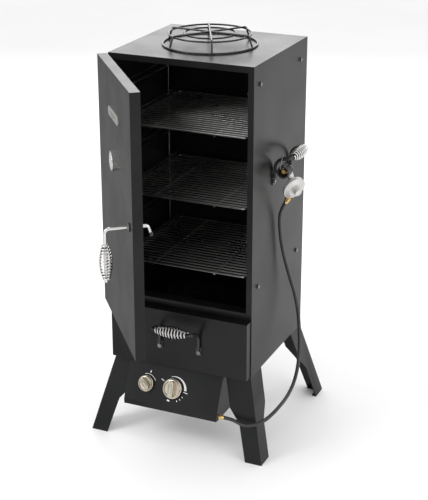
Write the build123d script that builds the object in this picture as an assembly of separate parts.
from build123d import *
import os
from math import cos, radians, sin, tan

# Gas-fired vertical cabinet smoker. Millimetres, +X to the object's right, +Y to its back, +Z up.
# The origin is on the floor under the centre of the cabinet.

# ---------------------------------------------------------------- driving dimensions
WIDTH = 406.0          # cabinet, outside
DEPTH = 380.0
LEG_HEIGHT = 228.0     # floor to the cabinet's underside
TOP_Z = 1080.0         # floor to the cabinet's top
SHEET = 1.2            # steel sheet of the casing
STILE = 16.0           # folded front edge of a side panel
HEADER = 17.0          # folded front edge of the top panel
FRONT_DEPTH = 26.0     # folded depth of the door and of the drawer front
FRONT_GAP = 1.0        # between the cabinet's face and a closed door or drawer front
DRAWER_TOP_Z = 394.0
DOOR_BOTTOM_Z = 398.0
DOOR_OPEN_DEG = 51.2   # how far the door stands open at rest
DRAWER_TRAY_Z = 330.0  # level of the frame that carries the pans
RAIL_X = 174.0         # rack rails, either side
POST_X = 190.0         # rack posts, either side
POST_YS = (-150.0, 138.0)
TOP_RAIL_Z = 1001.0    # uppermost upper rail
RAIL_PITCH = 95.0      # from one level to the next
RAIL_PAIR = 18.5       # upper rail over lower rail
LEVELS = 6
GRATE_LEVELS = {"upper": 1, "middle": 3, "lower": 5}
LEG_SPLAY = 56.0       # outward lean of a foot, along X and along Y
LEG_SHEET = 2.5
HANDLE_ROD = 4.5       # radius of the bent handle rods
HANDLE_SPAN = 116.0
HANDLE_OUT = 50.0
HANDLE_RISE = 62.0
GRIP_LENGTH = 98.0
HOSE_R = 5.0
RUN_FIT = 0.05         # radial clearance of a shaft that turns

HALF_W = WIDTH / 2
HALF_D = DEPTH / 2
FRONT_Y = -HALF_D
BACK_Y = HALF_D
FACE_Y = FRONT_Y - FRONT_GAP - FRONT_DEPTH   # outer face of the closed door and of the drawer
INNER_Y = FRONT_Y - FRONT_GAP                # inner edge of their folds


# ---------------------------------------------------------------- small builders
def block(x0, x1, y0, y1, z0, z1):
    """A box from its two corners."""
    centre = ((x0 + x1) / 2, (y0 + y1) / 2, (z0 + z1) / 2)
    return Pos(*centre) * Box(abs(x1 - x0), abs(y1 - y0), abs(z1 - z0))


def rod(start, end, radius):
    """A round bar between two points."""
    along = Vector(*end) - Vector(*start)
    bottom = (Align.CENTER, Align.CENTER, Align.MIN)
    return Plane(origin=start, z_dir=along) * Cylinder(radius, along.length, align=bottom)


def hexagon(start, end, across):
    """A hexagonal bar between two points, so wide across its corners."""
    along = Vector(*end) - Vector(*start)
    face = Plane(origin=start, z_dir=along) * RegularPolygon(across / 2, 6)
    return extrude(face, along.length)


def bent_rod(points, radii, radius):
    """A round bar that follows straight runs with rounded corners."""
    path = FilletPolyline(*points, radius=radii)
    return sweep(Plane(origin=points[0], z_dir=path % 0) * Circle(radius), path=path)


def ring(centre_z, major, minor):
    return Pos(0, 0, centre_z) * Torus(major, minor)


def joined(shapes):
    """One solid from overlapping shapes."""
    whole = shapes[0]
    return whole.fuse(*shapes[1:])


def mirrored_x(shape):
    return mirror(shape, Plane.YZ)


def bolt(seat, inward, shank_r, length):
    """A hex-head bolt: the head stands on its seat and the shank runs inward from it."""
    head_across = shank_r * 4.2
    head_height = shank_r * 1.3
    direction = Vector(*inward).normalized()
    outside = Vector(*seat) - direction * head_height
    inside = Vector(*seat) + direction * length
    head = hexagon(tuple(outside), seat, head_across)
    return head + rod(seat, tuple(inside), shank_r)


def save(name, shape):
    export_step(shape, f"parts/{name}.step")


def group(shapes):
    """Separate solids that share one node."""
    return Compound(children=list(shapes))


# ---------------------------------------------------------------- where things are fastened
BOLT_R = 3.0
HOLE_R = 3.3
POST_BOLT_ZS = (480.0, 1028.0)
HANDLE_Y = 8.0                   # middle of a side handle
HANDLE_FOOT_Z = 743.0            # bolt of a side handle
HANDLE_FOOT_DROP = 17.0          # from the bend of the rod down to that bolt
HINGE_ZS = (520.0, 960.0)        # middles of the two hinges
LEG_BOLT_INSETS = ((40.0, 24.0), (24.0, 40.0))   # from the cabinet's corner
BOX_SCREW_SPOTS = [(x, y) for x in (-117.0, 119.0) for y in (-165.0, -135.0)]
BOX_SCREW_R = 2.0
BURNER_HOLE_R = 45.0


def side_holes():
    """Every bolt place on a side panel, as (y, z)."""
    posts = [(y, z) for y in POST_YS for z in POST_BOLT_ZS]
    feet = [(HANDLE_Y + s * HANDLE_SPAN / 2, HANDLE_FOOT_Z) for s in (-1, 1)]
    return posts + feet


def side_panel():
    """Right side: wall, folded front stile with its return lip, folded back edge."""
    top = TOP_Z - SHEET
    lip = 16.0
    wall = block(HALF_W - SHEET, HALF_W, FRONT_Y, BACK_Y, LEG_HEIGHT, top)
    stile = block(HALF_W - STILE, HALF_W, FRONT_Y, FRONT_Y + SHEET, LEG_HEIGHT, top)
    lip_x = HALF_W - STILE
    back_lip = block(lip_x, lip_x + SHEET, FRONT_Y, FRONT_Y + lip, LEG_HEIGHT, top)
    back = block(HALF_W - 12, HALF_W, BACK_Y - SHEET, BACK_Y, LEG_HEIGHT, top)
    panel = joined([wall, stile, back_lip, back])
    for y, z in side_holes():
        panel -= rod((HALF_W - 10, y, z), (HALF_W + 10, y, z), HOLE_R)
    return panel


def top_panel():
    """Lid with a folded header over the door opening and a folded back edge."""
    sheet = block(-HALF_W, HALF_W, FRONT_Y, BACK_Y, TOP_Z - SHEET, TOP_Z)
    inner = HALF_W - STILE - 0.1
    header = block(-inner, inner, FRONT_Y, FRONT_Y + SHEET, TOP_Z - HEADER, TOP_Z - SHEET)
    back = block(-inner, inner, BACK_Y - 2 * SHEET - 0.1, BACK_Y - SHEET - 0.1, TOP_Z - HEADER, TOP_Z - SHEET)
    return joined([sheet, header, back])


def back_panel():
    """Back wall with a row of smoke outlets under the lid."""
    edge = HALF_W - 12 - 0.1
    wall = block(-edge, edge, BACK_Y - SHEET, BACK_Y, LEG_HEIGHT, TOP_Z - SHEET)
    slot_pitch = 56.0
    for i in range(5):
        x = (i - 2) * slot_pitch
        wall -= block(x - 18, x + 18, BACK_Y - 5, BACK_Y + 5, TOP_Z - 62, TOP_Z - 54)
    return wall


def floor_panel():
    """Bottom sheet with the burner's opening and the bolt holes of the legs."""
    x, y = HALF_W - SHEET, HALF_D - SHEET
    sheet = block(-x, x, -y, y, LEG_HEIGHT, LEG_HEIGHT + SHEET)
    sheet -= rod((0, 0, LEG_HEIGHT - 5), (0, 0, LEG_HEIGHT + 5), BURNER_HOLE_R)
    for sx in (-1, 1):
        for sy in (-1, 1):
            for dx, dy in LEG_BOLT_INSETS:
                px, py = sx * (HALF_W - dx), sy * (HALF_D - dy)
                sheet -= rod((px, py, LEG_HEIGHT - 5), (px, py, LEG_HEIGHT + 5), HOLE_R)
    for x, y in BOX_SCREW_SPOTS:
        sheet -= rod((x, y, LEG_HEIGHT - 5), (x, y, LEG_HEIGHT + 5), BOX_SCREW_R + 0.3)
    lips = (HALF_W - STILE, HALF_W - STILE + SHEET)
    for sx in (-1, 1):
        sheet -= block(sx * lips[0], sx * lips[1], FRONT_Y, FRONT_Y + 16, LEG_HEIGHT - 1, LEG_HEIGHT + 5)
        corner = (sx * (HALF_W - 12), sx * HALF_W)
        sheet -= block(*corner, BACK_Y - SHEET, BACK_Y, LEG_HEIGHT - 1, LEG_HEIGHT + 5)
    return sheet


def front_crossbar():
    """Folded channel between the stiles, over the drawer."""
    x = HALF_W - STILE
    top, bottom = 415.0, 386.0
    face = block(-x, x, FRONT_Y, FRONT_Y + SHEET, bottom, top)
    shelf = block(-x, x, FRONT_Y, FRONT_Y + 34, top - SHEET, top)
    under = block(-x, x, FRONT_Y, FRONT_Y + 16, bottom, bottom + SHEET)
    return joined([face, shelf, under])


# ---------------------------------------------------------------- racks
RAIL_R = 2.5
POST_R = 3.0
RAIL_Y0, RAIL_Y1 = -156.0, 160.0


def rack_support():
    """Right-hand wire frame: two bolted posts, and a pair of rails at each level."""
    parts = []
    low_z, high_z = POST_BOLT_ZS[0] + 16, POST_BOLT_ZS[1] - 16
    wall_x = HALF_W - SHEET
    for y in POST_YS:
        parts.append(rod((POST_X, y, low_z), (POST_X, y, high_z), POST_R))
        for z, bolt_z in ((low_z, POST_BOLT_ZS[0]), (high_z, POST_BOLT_ZS[1])):
            tab = block(wall_x - 3, wall_x, y - 9, y + 9, min(z, bolt_z) - 9, max(z, bolt_z) + 9)
            tab -= rod((wall_x - 9, y, bolt_z), (wall_x + 9, y, bolt_z), HOLE_R)
            parts.append(tab)
            parts.append(rod((POST_X, y, z), (wall_x - 1, y, z), POST_R))
    for level in range(LEVELS):
        for z in (TOP_RAIL_Z - level * RAIL_PITCH, TOP_RAIL_Z - level * RAIL_PITCH - RAIL_PAIR):
            parts.append(rod((RAIL_X, RAIL_Y0, z), (RAIL_X, RAIL_Y1, z), RAIL_R))
            for y in POST_YS:
                stub_z = z - 0.8
                parts.append(rod((RAIL_X, y, stub_z), (POST_X, y, stub_z), RAIL_R - 0.4))
    return joined(parts)


GRATE_X, GRATE_Y = 180.0, 178.0
GRATE_WIRE_R = 2.25
GRATE_FRAME_R = 3.0
GRATE_WIRES = 19


def cooking_grate():
    """Wire grate at height zero: a rim, wires from side to side, two bars under them."""
    corner = 12.0
    front = FilletPolyline((-GRATE_X, 0, 0), (-GRATE_X, -GRATE_Y, 0), (GRATE_X, -GRATE_Y, 0),
                           (GRATE_X, 0, 0), radius=corner)
    rim = sweep(Plane(origin=(-GRATE_X, 0, 0), z_dir=(0, -1, 0)) * Circle(GRATE_FRAME_R), path=front)
    parts = [rim, mirror(rim, Plane.XZ)]
    pitch = 2 * GRATE_Y / (GRATE_WIRES + 1)
    for i in range(1, GRATE_WIRES + 1):
        y = -GRATE_Y + i * pitch
        parts.append(rod((-GRATE_X, y, 0), (GRATE_X, y, 0), GRATE_WIRE_R))
    drop = GRATE_WIRE_R + GRATE_FRAME_R - 0.9
    for x in (-90.0, 90.0):
        parts.append(rod((x, -GRATE_Y, -drop), (x, GRATE_Y, -drop), GRATE_FRAME_R))
    return joined(parts)


def grate_z(level):
    """Height of a grate that lies on the lower rail of a level."""
    rail = TOP_RAIL_Z - level * RAIL_PITCH - RAIL_PAIR
    return rail + RAIL_R + GRATE_WIRE_R + 0.1


def rack_bolts():
    """Bolts of both rack frames, through the side panels from outside."""
    right = [bolt((HALF_W, y, z), (-1, 0, 0), BOLT_R, 8) for y in POST_YS for z in POST_BOLT_ZS]
    return group(right + [mirrored_x(b) for b in right])


# ---------------------------------------------------------------- legs
def leg():
    """Front-right leg: two tapering wings that lean outward, a bolted top plate and a foot tab."""
    corner = Vector(HALF_W - 1, FRONT_Y + 1, LEG_HEIGHT)
    foot = Vector(HALF_W + LEG_SPLAY, FRONT_Y - LEG_SPLAY, 0)
    lean = (foot - corner)
    knee_top, knee_end = 0.40, 0.56
    over = 0.03

    def wing(width_dir, widths):
        top_w, knee_w, foot_w = widths
        start = corner - lean * over
        end = corner + lean * (1 + over)
        outline = [start, end, end + width_dir * foot_w, corner + lean * knee_end + width_dir * knee_w,
                   corner + lean * knee_top + width_dir * top_w, start + width_dir * top_w]
        inward = width_dir.cross(lean).normalized()
        if inward.X > 0 or inward.Y < 0:
            inward = inward * -1
        face = make_face(Polyline(*outline, close=True))
        return extrude(face, LEG_SHEET, dir=inward)

    front_wing = wing(Vector(-1, 0, 0), (73.0, 51.0, 48.0))
    side_wing = wing(Vector(0, 1, 0), (75.0, 52.0, 55.0))
    slab = block(HALF_W - 120, HALF_W + 80, FRONT_Y - 80, FRONT_Y + 120, 0, LEG_HEIGHT - LEG_SHEET)
    wings = (front_wing + side_wing) & slab
    top_z = LEG_HEIGHT - LEG_SHEET
    plate_x, plate_y = HALF_W - 1, FRONT_Y + 1
    plate_outline = [(plate_x + 0.6, plate_y - 0.6), (plate_x - 72, plate_y - 0.6)]
    plate_outline += [(plate_x - 72, plate_y + 20), (plate_x - 20, plate_y + 74), (plate_x + 0.6, plate_y + 74)]
    plate = extrude(Plane.XY.offset(top_z) * make_face(Polyline(*plate_outline, close=True)), LEG_SHEET)
    for dx, dy in LEG_BOLT_INSETS:
        px, py = HALF_W - dx, FRONT_Y + dy
        plate -= rod((px, py, top_z - 5), (px, py, top_z + 10), HOLE_R)
    fx, fy = foot.X, foot.Y
    tab_outline = [(fx - 0.4, fy + 0.4), (fx - 44, fy + 0.4), (fx - 44, fy + 14), (fx - 14, fy + 14),
                   (fx - 14, fy + 54), (fx - 0.4, fy + 54)]
    tab = extrude(make_face(Polyline(*tab_outline, close=True)), LEG_SHEET)
    return joined([wings, plate, tab])


def leg_bolts():
    """Two bolts in each leg's top plate, driven up through the cabinet floor."""
    seat_z = LEG_HEIGHT - LEG_SHEET
    bolts = []
    for sx in (-1, 1):
        for sy in (-1, 1):
            for dx, dy in LEG_BOLT_INSETS:
                px, py = sx * (HALF_W - dx), sy * (HALF_D - dy)
                bolts.append(bolt((px, py, seat_z), (0, 0, 1), BOLT_R, 9))
    return group(bolts)


# ---------------------------------------------------------------- handles with a coil grip
def handle_rod():
    """Bent rod on a wall in the XZ plane that faces -Y, its two bolts at height zero.
    The rod climbs the wall, curves outward and carries the grip along X."""
    half = HANDLE_SPAN / 2
    y_wall = -(HANDLE_ROD + 0.8)
    rise, crest = HANDLE_RISE + HANDLE_FOOT_DROP - 9, HANDLE_RISE + HANDLE_FOOT_DROP - 10
    start = HANDLE_FOOT_DROP - 8
    points = [(-half, y_wall, start), (-half, y_wall, rise - 10), (-half, -HANDLE_OUT, crest),
              (half, -HANDLE_OUT, crest), (half, y_wall, rise - 10), (half, y_wall, start)]
    bar = bent_rod(points, [30, 8, 8, 30], HANDLE_ROD)
    parts = [bar]
    for x in (-half, half):
        foot = block(x - 8, x + 8, -3, 0, -9, HANDLE_FOOT_DROP)
        foot -= rod((x, -9, 0), (x, 9, 0), HOLE_R)
        neck = block(x - 4, x + 4, y_wall, -1, start, HANDLE_FOOT_DROP)
        parts.extend([foot, neck])
    return joined(parts)


GRIP_BORE = HANDLE_ROD + 0.1
GRIP_END_R = 8.5
GRIP_MID_R = 17.5


def grip_sleeve(length):
    """The coil grip along +Z from zero: a hollow barrel whose two end turns close on the rod."""
    wall, collar = 3.0, 4.0
    crown = Spline((GRIP_END_R, 0, 0), (GRIP_MID_R, 0, length / 2), (GRIP_END_R, 0, length),
                   tangents=[(0.5, 0, 1), (-0.5, 0, 1)])
    hollow = Spline((GRIP_END_R - wall + 1, 0, length - collar), (GRIP_MID_R - wall, 0, length / 2),
                    (GRIP_END_R - wall + 1, 0, collar), tangents=[(0.5, 0, -1), (-0.5, 0, -1)])
    top = Polyline((GRIP_END_R, 0, length), (GRIP_BORE, 0, length), (GRIP_BORE, 0, length - collar),
                   (GRIP_END_R - wall + 1, 0, length - collar))
    bottom = Polyline((GRIP_END_R - wall + 1, 0, collar), (GRIP_BORE, 0, collar), (GRIP_BORE, 0, 0),
                      (GRIP_END_R, 0, 0))
    return revolve(make_face(crown + top + hollow + bottom), Axis.Z, 360)


def handle_grip(shift):
    """Grip on the rod of a handle_rod, pushed so far along X from its middle."""
    crest = HANDLE_RISE + HANDLE_FOOT_DROP - 10
    sleeve = grip_sleeve(GRIP_LENGTH)
    return Plane(origin=(shift - GRIP_LENGTH / 2, -HANDLE_OUT, crest), z_dir=(1, 0, 0)) * sleeve


def handle_bolts():
    half = HANDLE_SPAN / 2
    return [bolt((x, -3, 0), (0, 1, 0), BOLT_R, 9) for x in (-half, half)]


def on_right_side(shape):
    """Moves a handle part from the -Y wall to the right side panel."""
    return Pos(HALF_W, HANDLE_Y, HANDLE_FOOT_Z) * Rot(0, 0, 90) * shape


DRAWER_HANDLE_X = 5.0
DRAWER_HANDLE_Z = 290.0


def on_drawer(shape):
    return Pos(DRAWER_HANDLE_X, FACE_Y, DRAWER_HANDLE_Z) * shape


# ---------------------------------------------------------------- drawer
FRAME_X = 183.2
FRAME_BACK_Y = 150.0
PAN_OPENINGS = ((-176.0, -76.0), (-62.0, 142.0))
PAN_OPENING_X = 150.0


def drawer_front():
    """Folded front of the drawer, open towards the back."""
    x, z0, z1 = HALF_W - 2, LEG_HEIGHT + 2, DRAWER_TOP_Z
    tray = block(-x, x, FACE_Y, INNER_Y, z0, z1)
    tray -= block(-x + SHEET, x - SHEET, FACE_Y + SHEET, INNER_Y + 1, z0 + SHEET, z1 - SHEET)
    for shape_x in (-HANDLE_SPAN / 2, HANDLE_SPAN / 2):
        px = DRAWER_HANDLE_X + shape_x
        tray -= rod((px, FACE_Y - 5, DRAWER_HANDLE_Z), (px, FACE_Y + 5, DRAWER_HANDLE_Z), HOLE_R)
    return tray


def drawer_frame():
    """Sliding frame behind the drawer front: side runners and a flat ring for the two pans."""
    z = DRAWER_TRAY_Z
    front = FACE_Y + SHEET
    plate = block(-FRAME_X, FRAME_X, FRONT_Y + 3, FRAME_BACK_Y, z - SHEET, z)
    for y0, y1 in PAN_OPENINGS:
        plate -= block(-PAN_OPENING_X, PAN_OPENING_X, y0, y1, z - 5, z + 5)
    parts = [plate]
    for s in (-1, 1):
        parts.append(block(s * (FRAME_X - SHEET), s * FRAME_X, front, FRAME_BACK_Y, z - 30, z))
    parts.append(block(-FRAME_X, FRAME_X, FRAME_BACK_Y - SHEET, FRAME_BACK_Y, z - 30, z))
    return joined(parts)


def pan(x, y0, y1, depth, rim):
    """A pressed pan that hangs by its rim in the drawer frame."""
    z = DRAWER_TRAY_Z
    wall = 1.0
    body = block(-x, x, y0, y1, z - depth, z + wall)
    body += block(-x - rim, x + rim, y0 - rim, y1 + rim, z, z + wall)
    return body - block(-x + wall, x - wall, y0 + wall, y1 - wall, z - depth + wall, z + 5)


def wood_chip_tray():
    return pan(PAN_OPENING_X - 1.5, PAN_OPENINGS[0][0] + 1.5, PAN_OPENINGS[0][1] - 1.5, 36.0, 7.0)


def water_pan():
    return pan(PAN_OPENING_X - 1.5, PAN_OPENINGS[1][0] + 1.5, PAN_OPENINGS[1][1] - 1.5, 42.0, 7.0)


def drawer_runners():
    """Angle on each side panel that the drawer frame slides on."""
    top = DRAWER_TRAY_Z - 30 - 0.5
    wall_x = HALF_W - SHEET
    shelf = block(FRAME_X - 4, wall_x, FRONT_Y + 20, BACK_Y - 6, top - SHEET, top)
    upright = block(wall_x - SHEET, wall_x, FRONT_Y + 20, BACK_Y - 6, top - 24, top)
    right = shelf + upright
    return group([right, mirrored_x(right)])


# ---------------------------------------------------------------- burner
BURNER_R = 65.0
BURNER_TOP_Z = 277.0
TUBE_R = 11.0


def burner():
    """Cast-iron disc burner with a hub underneath."""
    top = BURNER_TOP_Z
    crown = [(0, top), (BURNER_R - 18, top), (BURNER_R - 8, top - 3), (BURNER_R, top - 9)]
    underside = [(BURNER_R, top - 15), (BURNER_R - 10, top - 17), (18, top - 17)]
    outline = crown + underside + [(16, top - 30), (0, top - 30)]
    section = make_face(Polyline(*[(r, 0, z) for r, z in outline], close=True))
    return revolve(section, Axis.Z, 360)


def burner_bracket():
    """Bridge over the floor opening that carries the burner's hub."""
    deck_z = BURNER_TOP_Z - 30 - 2
    deck = block(-92, 92, -14, 14, deck_z, deck_z + 2)
    legs = [block(s * 90, s * 92, -14, 14, LEG_HEIGHT + SHEET, deck_z + 2) for s in (-1, 1)]
    feet = [block(s * 90, s * 106, -14, 14, LEG_HEIGHT + SHEET, LEG_HEIGHT + SHEET + 2) for s in (-1, 1)]
    bridge = joined([deck] + legs + feet)
    return bridge - rod((0, 0, deck_z - 5), (0, 0, deck_z + 5), TUBE_R + 0.2)


def electrode():
    """Ceramic spark electrode beside the burner, on the bracket's deck."""
    z = BURNER_TOP_Z - 30
    stem = rod((80, 0, z), (80, 0, z + 26), 4.0)
    tip = rod((80, 0, z + 26), (80, 0, z + 34), 1.2)
    return stem + tip


# ---------------------------------------------------------------- control box under the floor
BOX_X0, BOX_X1 = -152.0, 128.0
BOX_TOP = Vector(0, -205.0, 225.0)       # top edge of the sloping face
BOX_LOW = Vector(0, -250.0, 121.0)       # its lower edge
BOX_BOTTOM_Z = 107.0
BOX_BACK_Y = -118.0
CONTROL_DROP = 60.0                      # from the top edge down the slope to the two shafts
VALVE_X, IGNITER_X = -10.0, -91.0
SHAFT_R = 4.0

SLOPE = (BOX_LOW - BOX_TOP).normalized()
OUTWARD = Vector(0, SLOPE.Z, -SLOPE.Y)   # square to the sloping face, forward and up


def control_plane(x):
    """Plane on the sloping face at a control's shaft, its normal pointing out."""
    point = BOX_TOP + SLOPE * CONTROL_DROP
    return Plane(origin=(x, point.Y, point.Z), x_dir=(1, 0, 0), z_dir=tuple(OUTWARD))


def box_side_view(inset, top_z):
    """Side view of the control box, pulled in by so much and open at the given height."""
    shift = inset / abs(OUTWARD.Y)
    top_y = BOX_TOP.Y + shift - inset * SLOPE.Y / SLOPE.Z
    step_y, back_y = FRONT_Y + 3 + inset, BOX_BACK_Y - inset
    shelf_z, foot_z = BOX_TOP.Z - inset, BOX_BOTTOM_Z + inset
    return make_face(Polyline((0, back_y, top_z), (0, step_y, top_z), (0, step_y, shelf_z),
                              (0, top_y, shelf_z), (0, BOX_LOW.Y + shift, BOX_LOW.Z),
                              (0, BOX_LOW.Y + shift, foot_z), (0, back_y, foot_z), close=True))


def behind_leg_face(gap):
    """Side view of everything behind the front face of a front leg, and so far in front of it."""
    lean = LEG_SPLAY / LEG_HEIGHT
    top_z, low_z = LEG_HEIGHT + 20, BOX_BOTTOM_Z - 20
    top_y, low_y = [FRONT_Y - (LEG_HEIGHT - z) * lean - gap for z in (top_z, low_z)]
    return make_face(Polyline((0, top_y, top_z), (0, 0, top_z), (0, 0, low_z), (0, low_y, low_z), close=True))


BOX_BODY_X0 = -126.0     # the box is narrower behind the left leg's face than in front of it


def control_box():
    """Sheet box hung under the cabinet floor, its face sloping out towards the bottom."""
    outer = Pos(BOX_X0, 0, 0) * extrude(box_side_view(0, LEG_HEIGHT), BOX_X1 - BOX_X0, dir=(1, 0, 0))
    beside = Pos(BOX_X0 - 1, 0, 0) * extrude(behind_leg_face(1.5), BOX_BODY_X0 - BOX_X0 + 1, dir=(1, 0, 0))
    width = BOX_X1 - BOX_X0 - 2 * SHEET
    inner = Pos(BOX_X0 + SHEET, 0, 0) * extrude(box_side_view(SHEET, LEG_HEIGHT + 10), width, dir=(1, 0, 0))
    margin = BOX_BODY_X0 - BOX_X0 + 1 + SHEET
    beside_inner = Pos(BOX_X0 - 1, 0, 0) * extrude(behind_leg_face(1.5 + SHEET), margin, dir=(1, 0, 0))
    shell = (outer - beside) - (inner - beside_inner)
    for x0, x1 in ((BOX_BODY_X0, BOX_BODY_X0 + 17), (BOX_X1 - 17, BOX_X1)):
        shell += block(x0, x1, -175, -125, LEG_HEIGHT - SHEET, LEG_HEIGHT)
    for x, y in BOX_SCREW_SPOTS:
        shell -= rod((x, y, LEG_HEIGHT - 5), (x, y, LEG_HEIGHT + 5), BOX_SCREW_R + 0.3)
    for x in (VALVE_X, IGNITER_X):
        shell -= control_plane(x) * Cylinder(SHAFT_R + 2, 20)
    shell -= rod((BOX_X1 - 10, INLET_Y, INLET_Z), (BOX_X1 + 10, INLET_Y, INLET_Z), 4.0)
    crossing = tube_route()[1:3]
    return shell - rod(crossing[0], crossing[1], TUBE_R + 1.5)


def control_box_screws():
    """Four screws up through the box's lips into the cabinet floor."""
    seat_z = LEG_HEIGHT - SHEET
    return group([bolt((x, y, seat_z), (0, 0, 1), BOX_SCREW_R, 4) for x, y in BOX_SCREW_SPOTS])


UP = (Align.CENTER, Align.CENTER, Align.MIN)
DOWN = (Align.CENTER, Align.CENTER, Align.MAX)
VALVE_BACK = 37.0        # from the sloping face to the back of the valve
SHAFT_TOP, SHAFT_LOW = 16.0, -13.0


def gas_valve():
    """Valve block whose nose bears on the back of the sloping face, bored for its stem."""
    nose = Pos(0, 0, -SHEET) * Cylinder(9, 5, align=DOWN)
    block_back = Pos(0, 0, -SHEET - 2) * Box(34, 30, VALVE_BACK - SHEET - 2, align=DOWN)
    bore = Cylinder(SHAFT_R + RUN_FIT, -SHAFT_LOW + 4, align=DOWN)
    return control_plane(VALVE_X) * (nose + block_back - bore)


def shaft():
    return Pos(0, 0, SHAFT_LOW) * Cylinder(SHAFT_R, SHAFT_TOP - SHAFT_LOW, align=UP)


def valve_stem():
    return control_plane(VALVE_X) * shaft()


def knob(radius, height, gap):
    """Round control knob with a raised finger bar, blind-bored for its shaft."""
    skirt = Cylinder(radius, height * 0.35, align=UP)
    cap = Pos(0, 0, height * 0.35) * Cone(radius * 0.93, radius * 0.84, height * 0.4, align=UP)
    bar = Pos(0, 0, height * 0.75) * Box(radius * 0.42, radius * 1.6, height * 0.25, align=UP)
    bore = Cylinder(SHAFT_R, SHAFT_TOP - gap, align=UP)
    return Pos(0, 0, gap) * (skirt + cap + bar - bore)


KNOB_GAP = 2.0
BURNER_KNOB_R, IGNITER_KNOB_R = 28.0, 22.5


def burner_knob():
    return control_plane(VALVE_X) * knob(BURNER_KNOB_R, 23.0, KNOB_GAP)


def igniter_knob():
    """The igniter's knob and its shaft in one piece."""
    return control_plane(IGNITER_X) * (knob(IGNITER_KNOB_R, 20.0, KNOB_GAP) + shaft())


def igniter_body():
    """Spark generator behind the sloping face, bored for the knob's shaft."""
    body = Pos(0, 0, -SHEET) * Cylinder(15, 48, align=DOWN)
    bore = Cylinder(SHAFT_R + RUN_FIT, -SHAFT_LOW + 4, align=DOWN)
    return control_plane(IGNITER_X) * (body - bore)


def tube_route():
    """Corners of the mixing tube: out of the valve's back, level under the floor, up to the hub."""
    plane = control_plane(VALVE_X)
    origin = plane.origin - plane.z_dir * VALVE_BACK
    ahead = origin - plane.z_dir * 42
    return [tuple(origin), tuple(ahead), (0, -30, 150), (0, 0, 185), (0, 0, BURNER_TOP_Z - 30)]


def burner_tube():
    """Mixing tube from the valve's outlet up through the floor to the burner's hub."""
    return bent_rod(tube_route(), [24, 30, 24], TUBE_R)


# ---------------------------------------------------------------- hose and regulator
INLET_Y, INLET_Z = -236.0, 118.0
INLET_LENGTH = 18.0
NUT_CENTRE = Vector(236.0, -52.0, 776.0)
NUT_R = 17.0
NUT_LENGTH = 30.0
DISC_CENTRE = Vector(253.0, -22.0, 721.0)
DISC_NORMAL = Vector(0.759, -0.533, -0.375).normalized()
DISC_R = 32.0
DISC_HALF = 8.0
OUTLET_DIR = Vector(-0.477, -0.062, -0.877).normalized()
OUTLET_LENGTH = 16.0


def hose_inlet_fitting():
    """Brass fitting where the hose enters the control box."""
    nut = hexagon((BOX_X1, INLET_Y, INLET_Z), (BOX_X1 + 10, INLET_Y, INLET_Z), 14.0)
    stem = rod((BOX_X1 + 10, INLET_Y, INLET_Z), (BOX_X1 + INLET_LENGTH, INLET_Y, INLET_Z), 5.6)
    shank = rod((BOX_X1 - 16, INLET_Y, INLET_Z), (BOX_X1, INLET_Y, INLET_Z), 3.8)
    return joined([nut, stem, shank])


def outlet_end():
    return DISC_CENTRE + OUTLET_DIR * (DISC_R + OUTLET_LENGTH)


def hose_route():
    """From the control box, forward round the leg, then up the right side to the regulator."""
    last = outlet_end()
    below_outlet = last + OUTLET_DIR * 30
    return [(BOX_X1 + INLET_LENGTH, INLET_Y, INLET_Z), (171, INLET_Y, INLET_Z), (203, -246, 112),
            (233, -244, 117), (257, -226, 127), (269, -196, 136), (274, -155, 141), (275, -103, 144),
            (272, -46, 154), (267, 0, 180), (260, 31, 222), (252, 50, 272), (243, 60, 330),
            (234, 52, 388), (225, 30, 447), (218, 8, 506), (214, -11, 562), (213.5, -22, 612),
            tuple(below_outlet), tuple(last)]


def fillet_radii(points):
    """Each corner's arc is as large as its two runs allow."""
    radii = []
    for before, here, after in zip(points, points[1:], points[2:]):
        a = Vector(*here) - Vector(*before)
        b = Vector(*after) - Vector(*here)
        turn = a.get_angle(b)
        radii.append(0.45 * min(a.length, b.length) / tan(radians(turn / 2)))
    return radii


def gas_hose():
    points = hose_route()
    radii = fillet_radii(points)
    path = FilletPolyline(*points, radius=radii)
    tube = sweep(Plane(origin=points[0], z_dir=path % 0) * Circle(HOSE_R), path=path)
    return tube


def regulator_body():
    """Zinc casting: a domed disc with a neck from its back up to the tank connector's axis."""
    disc_plane = Plane(origin=tuple(DISC_CENTRE - DISC_NORMAL * DISC_HALF), z_dir=tuple(DISC_NORMAL))
    rim = disc_plane * Cylinder(DISC_R, 9, align=UP)
    dome = disc_plane * Pos(0, 0, 9) * Cone(DISC_R - 2, DISC_R - 12, 7, align=UP)
    elbow = Vector(NUT_CENTRE.X, NUT_CENTRE.Y + NUT_LENGTH / 2 + 11, NUT_CENTRE.Z)
    ball = Pos(*elbow) * Sphere(10.5)
    neck = rod(tuple(elbow), tuple(DISC_CENTRE - DISC_NORMAL * 2), 8.5)
    boss = rod(tuple(elbow), (elbow.X, elbow.Y - 10.7, elbow.Z), 8.0)
    return joined([rim, dome, neck, ball, boss])


def regulator_vent_cap():
    start = DISC_CENTRE + DISC_NORMAL * (16 - DISC_HALF)
    end = start + DISC_NORMAL * 13
    return rod(tuple(start), tuple(end), 10.0)


def regulator_outlet_fitting():
    """Brass hex and ferrule at the rim of the regulator, where the hose starts."""
    start = DISC_CENTRE + OUTLET_DIR * (DISC_R - 3)
    mid = DISC_CENTRE + OUTLET_DIR * (DISC_R + 10)
    fitting = hexagon(tuple(start), tuple(mid), 15.0) + rod(tuple(mid), tuple(outlet_end()), 6.0)
    drum_plane = Plane(origin=tuple(DISC_CENTRE - DISC_NORMAL * DISC_HALF), z_dir=tuple(DISC_NORMAL))
    return fitting - drum_plane * Cylinder(DISC_R, 16, align=UP)


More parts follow.
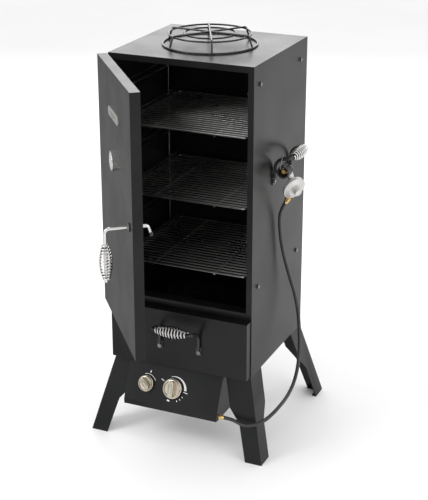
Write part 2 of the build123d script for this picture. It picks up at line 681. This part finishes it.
def tank_connector_nut():
    """Ribbed hand nut, open towards the front; it spins on the inlet nipple."""
    front = NUT_CENTRE.Y - NUT_LENGTH / 2
    back = NUT_CENTRE.Y + NUT_LENGTH / 2
    x, z = NUT_CENTRE.X, NUT_CENTRE.Z
    nut = rod((x, front, z), (x, back, z), NUT_R)
    nut -= rod((x, front - 1, z), (x, back - 6, z), 13.5)
    nut -= rod((x, back - 8, z), (x, back + 1, z), 6.0 + RUN_FIT)
    ribs = 16
    for i in range(ribs):
        a = radians(i * 360 / ribs)
        gx, gz = x + (NUT_R + 1.2) * cos(a), z + (NUT_R + 1.2) * sin(a)
        nut -= rod((gx, front + 8, gz), (gx, back + 1, gz), 2.4)
    return nut


def inlet_nipple():
    """Brass nipple through the nut, with the collar that retains it."""
    x, z = NUT_CENTRE.X, NUT_CENTRE.Z
    back = NUT_CENTRE.Y + NUT_LENGTH / 2
    shaft = rod((x, back - 24, z), (x, back + 0.3, z), 6.0)
    collar = rod((x, back - 9, z), (x, back - 6.3, z), 9.0)
    return shaft + collar


def regulator_hook():
    """Wire hook over the side handle's rod, its lower end in the mouth of the nut."""
    x = NUT_CENTRE.X - 4
    rod_y = HANDLE_Y - HANDLE_SPAN / 2
    z = HANDLE_FOOT_Z + HANDLE_RISE + HANDLE_FOOT_DROP - 10
    reach = HANDLE_ROD + 2.0
    mouth = NUT_CENTRE.Y - NUT_LENGTH / 2
    over_rod = [(x, rod_y + reach, z - 10), (x, rod_y + reach, z + reach - 1), (x, rod_y - reach, z + reach - 1)]
    into_nut = [(x, mouth - 7, z - 12), (x, mouth - 7, NUT_CENTRE.Z + 9), (x, mouth + 12, NUT_CENTRE.Z + 9)]
    points = over_rod + into_nut
    return bent_rod(points, [5.5, 5.5, 4, 5], 1.5)


# ---------------------------------------------------------------- door, drawn closed and then swung open
HINGE_PIN = (-HALF_W - 6.5, FRONT_Y - 7.0)
HINGE_LENGTH = 60.0
BARREL_R = 5.0
PIN_R = 2.5
LATCH_X, LATCH_Z = -HALF_W + 368.0, 739.0
LATCH_ROD_R = 4.5
LATCH_STANDOFF = 60.0       # handle's axis in front of the door
LATCH_DROP = 136.0          # handle's lower end under the shaft
LATCH_GRIP_LENGTH = 97.0
LATCH_REACH = 45.0          # shaft's length behind the door's face
BUSH_FLANGE_R = 11.0
BUSH_SLEEVE_R = 7.0
THERMO_Z = 856.0
THERMO_R = 25.0
THERMO_HEIGHT = 10.0
THERMO_RECESS = 4.5         # depth of the dial under the case's rim
THERMO_WALL = 2.2           # rim round the dial
PROBE_LENGTH = 30.0         # behind the door's face
PROBE_R = 2.6
NEEDLE_PIN_R = 1.0
BADGE_Z = 971.0


def opened(shape):
    """Turns a door part about the hinge pins from closed to where the door rests."""
    x, y = HINGE_PIN
    return Pos(x, y, 0) * Rot(0, 0, -DOOR_OPEN_DEG) * Pos(-x, -y, 0) * shape


def door_panel():
    """Folded sheet door, open towards the chamber."""
    tray = block(-HALF_W, HALF_W, FACE_Y, INNER_Y, DOOR_BOTTOM_Z, TOP_Z)
    inside = HALF_W - SHEET
    tray -= block(-inside, inside, FACE_Y + SHEET, INNER_Y + 1, DOOR_BOTTOM_Z + SHEET, TOP_Z - SHEET)
    tray -= rod((LATCH_X, FACE_Y - 5, LATCH_Z), (LATCH_X, FACE_Y + 5, LATCH_Z), BUSH_SLEEVE_R + 0.1)
    tray -= rod((0, FACE_Y - 5, THERMO_Z), (0, FACE_Y + 5, THERMO_Z), 3.0)
    return tray


def knuckle(z0, z1, bore):
    x, y = HINGE_PIN
    barrel = rod((x, y, z0), (x, y, z1), BARREL_R)
    return barrel, rod((x, y, z0 - 1), (x, y, z1 + 1), bore)


def hinge_cabinet_leaves():
    """Leaf on the left side panel with the upper and lower knuckles of each hinge."""
    x, y = HINGE_PIN
    leaves = []
    for middle in HINGE_ZS:
        z0, z1 = middle - HINGE_LENGTH / 2, middle + HINGE_LENGTH / 2
        third = HINGE_LENGTH / 3
        plate = block(-HALF_W - 1.8, -HALF_W, FRONT_Y + 0.5, FRONT_Y + 34, z0, z1)
        for arm_z0, arm_z1 in ((z0, z0 + third), (z1 - third, z1)):
            plate += block(-HALF_W - 2.2, -HALF_W - 0.5, y, FRONT_Y + 3, arm_z0, arm_z1)
        low, low_bore = knuckle(z0, z0 + third, PIN_R)
        high, high_bore = knuckle(z1 - third, z1, PIN_R)
        plate_top = plate + low + high
        leaves.append(plate_top - low_bore - high_bore)
    return group(leaves)


def hinge_door_leaves():
    """Leaf on the door's folded edge with the middle knuckle of each hinge."""
    x, y = HINGE_PIN
    leaves = []
    for middle in HINGE_ZS:
        third = HINGE_LENGTH / 3 - 0.4
        z0, z1 = middle - third / 2, middle + third / 2
        plate = block(-HALF_W - 1.8, -HALF_W - 0.02, FACE_Y + 2, y, z0, z1)
        barrel, bore = knuckle(z0, z1, PIN_R + RUN_FIT)
        leaves.append(opened(plate + barrel - bore))
    return group(leaves)


def hinge_pins():
    x, y = HINGE_PIN
    half = HINGE_LENGTH / 2 + 2
    pins = [rod((x, y, z - half), (x, y, z + half), PIN_R) for z in HINGE_ZS]
    return group(pins)


def thermometer_case():
    """Round case on the door with the probe through the sheet."""
    back = FACE_Y
    front = FACE_Y - THERMO_HEIGHT
    case = rod((0, back, THERMO_Z), (0, front, THERMO_Z), THERMO_R)
    case -= rod((0, front - 1, THERMO_Z), (0, front + THERMO_RECESS, THERMO_Z), THERMO_R - THERMO_WALL)
    case -= rod((0, front, THERMO_Z), (0, front + 8, THERMO_Z), NEEDLE_PIN_R + RUN_FIT)
    probe = rod((0, back - 1, THERMO_Z), (0, back + PROBE_LENGTH, THERMO_Z), PROBE_R)
    return opened(case + probe)


def thermometer_needle():
    """Pointer on its hub, pointing to the low end of the dial."""
    y = FACE_Y - THERMO_HEIGHT + THERMO_RECESS - 0.3
    hub = rod((0, y, THERMO_Z), (0, y - 1.6, THERMO_Z), 2.2)
    pin = rod((0, y - 1, THERMO_Z), (0, y + 3, THERMO_Z), NEEDLE_PIN_R)
    angle = radians(225)
    tip = (17 * cos(angle), 17 * sin(angle))
    pointer = rod((0, y - 0.9, THERMO_Z), (tip[0], y - 0.9, THERMO_Z + tip[1]), 0.6)
    return opened(joined([hub, pin, pointer]))


def thermometer_glass():
    front = FACE_Y - THERMO_HEIGHT
    return opened(rod((0, front + 0.4, THERMO_Z), (0, front + 1.6, THERMO_Z), THERMO_R - THERMO_WALL - 0.02))


def door_badge():
    """Plain raised plate with rounded ends."""
    half, rise = 62.0, 12.0
    plate = block(-half + rise, half - rise, FACE_Y - 2.2, FACE_Y, BADGE_Z - rise, BADGE_Z + rise)
    right_end = rod((half - rise, FACE_Y - 2.2, BADGE_Z), (half - rise, FACE_Y, BADGE_Z), rise)
    ends = [right_end, mirrored_x(right_end)]
    return opened(joined([plate] + ends))


def latch_bushing():
    """Flanged bush in the door sheet that the latch rod turns in."""
    flange = rod((LATCH_X, FACE_Y - 3, LATCH_Z), (LATCH_X, FACE_Y, LATCH_Z), BUSH_FLANGE_R)
    sleeve = rod((LATCH_X, FACE_Y, LATCH_Z), (LATCH_X, FACE_Y + 12, LATCH_Z), BUSH_SLEEVE_R)
    nut = hexagon((LATCH_X, FACE_Y + SHEET, LATCH_Z), (LATCH_X, FACE_Y + 6, LATCH_Z), 22.0)
    bore = rod((LATCH_X, FACE_Y - 5, LATCH_Z), (LATCH_X, FACE_Y + 15, LATCH_Z), LATCH_ROD_R + RUN_FIT)
    return opened(joined([flange, sleeve, nut]) - bore)


BALL_R = 7.0
HOOK_END = (LATCH_X, FACE_Y + LATCH_REACH + 7, LATCH_Z - 22)


def latch_rod():
    """One bent rod: the hanging outer handle, the shaft through the door and the hook inside."""
    outer = FACE_Y - LATCH_STANDOFF
    low_end = (LATCH_X, outer, LATCH_Z - LATCH_DROP)
    shaft_front = (LATCH_X, outer, LATCH_Z)
    shaft_back = (LATCH_X, FACE_Y + LATCH_REACH, LATCH_Z)
    points = [low_end, shaft_front, shaft_back, HOOK_END]
    return opened(bent_rod(points, [12, 6], LATCH_ROD_R))


def latch_ball():
    """Ball on the end of the hook, bored for the rod."""
    start = Vector(LATCH_X, FACE_Y + LATCH_REACH, LATCH_Z)
    end = Vector(*HOOK_END)
    toward = (end - start).normalized()
    ball = Pos(*HOOK_END) * Sphere(BALL_R)
    return opened(ball - rod(tuple(end - toward * 12), tuple(end), LATCH_ROD_R))


def latch_grip():
    outer = FACE_Y - LATCH_STANDOFF
    low = LATCH_Z - LATCH_DROP + 3
    return opened(Pos(LATCH_X, outer, low) * grip_sleeve(LATCH_GRIP_LENGTH))


# ---------------------------------------------------------------- loose wire stand on the lid
def wire_stand():
    """Three rings held by three bent wires that cross at the middle."""
    wire = 2.5
    base_z = TOP_Z + wire + 0.2
    arm_z = TOP_Z + 33.0
    parts = [ring(base_z, 125.0, wire), ring(arm_z - 3.6, 109.0, wire), ring(arm_z - 3.6, 68.0, wire)]
    for degrees_round in (-4, 56, 116):
        a = radians(degrees_round)
        stations = [(-124, base_z), (-113, arm_z), (113, arm_z), (124, base_z)]
        points = [(r * cos(a), r * sin(a), z) for r, z in stations]
        parts.append(bent_rod(points, [8, 8], wire))
    return joined(parts)


# ---------------------------------------------------------------- all nodes
def main():
    os.makedirs("parts", exist_ok=True)
    right_side = side_panel()
    right_rack = rack_support()
    grate = cooking_grate()
    front_right_leg = leg()
    front_left_leg = mirrored_x(front_right_leg)
    rod_shape = handle_rod()
    right_rod = on_right_side(rod_shape)
    right_grip = on_right_side(handle_grip(0))
    side_bolts = [on_right_side(b) for b in handle_bolts()]

    save("top_panel", top_panel())
    save("right_side_panel", right_side)
    save("left_side_panel", mirrored_x(right_side))
    save("back_panel", back_panel())
    save("floor_panel", floor_panel())
    save("front_crossbar", front_crossbar())
    save("rack_support_right", right_rack)
    save("rack_support_left", mirrored_x(right_rack))
    save("rack_bolts", rack_bolts())
    for name, level in GRATE_LEVELS.items():
        save(f"cooking_grate_{name}", Pos(0, 0, grate_z(level)) * grate)
    save("leg_front_right", front_right_leg)
    save("leg_front_left", front_left_leg)
    save("leg_back_right", mirror(front_right_leg, Plane.XZ))
    save("leg_back_left", mirror(front_left_leg, Plane.XZ))
    save("leg_bolts", leg_bolts())
    save("side_handle_rods", group([right_rod, mirrored_x(right_rod)]))
    save("side_handle_grips", group([right_grip, mirrored_x(right_grip)]))
    save("side_handle_bolts", group(side_bolts + [mirrored_x(b) for b in side_bolts]))
    save("drawer_front", drawer_front())
    save("drawer_frame", drawer_frame())
    save("drawer_handle_rod", on_drawer(rod_shape))
    save("drawer_handle_grip", on_drawer(handle_grip(-0.8)))
    save("drawer_handle_bolts", group([on_drawer(b) for b in handle_bolts()]))
    save("drawer_runners", drawer_runners())
    save("wood_chip_tray", wood_chip_tray())
    save("water_pan", water_pan())
    save("burner", burner())
    save("burner_bracket", burner_bracket())
    save("igniter_electrode", electrode())
    save("burner_tube", burner_tube())
    save("control_box", control_box())
    save("control_box_screws", control_box_screws())
    save("gas_valve", gas_valve())
    save("valve_stem", valve_stem())
    save("burner_knob", burner_knob())
    save("igniter_body", igniter_body())
    save("igniter_knob", igniter_knob())
    save("hose_inlet_fitting", hose_inlet_fitting())
    save("gas_hose", gas_hose())
    save("regulator_body", regulator_body())
    save("regulator_vent_cap", regulator_vent_cap())
    save("regulator_outlet_fitting", regulator_outlet_fitting())
    save("tank_connector_nut", tank_connector_nut())
    save("inlet_nipple", inlet_nipple())
    save("regulator_hook", regulator_hook())
    save("door_panel", opened(door_panel()))
    save("hinge_cabinet_leaves", hinge_cabinet_leaves())
    save("hinge_door_leaves", hinge_door_leaves())
    save("hinge_pins", hinge_pins())
    save("thermometer_case", thermometer_case())
    save("thermometer_needle", thermometer_needle())
    save("thermometer_glass", thermometer_glass())
    save("door_badge", door_badge())
    save("latch_bushing", latch_bushing())
    save("latch_rod", latch_rod())
    save("latch_ball", latch_ball())
    save("latch_grip", latch_grip())
    save("wire_stand", wire_stand())


main()
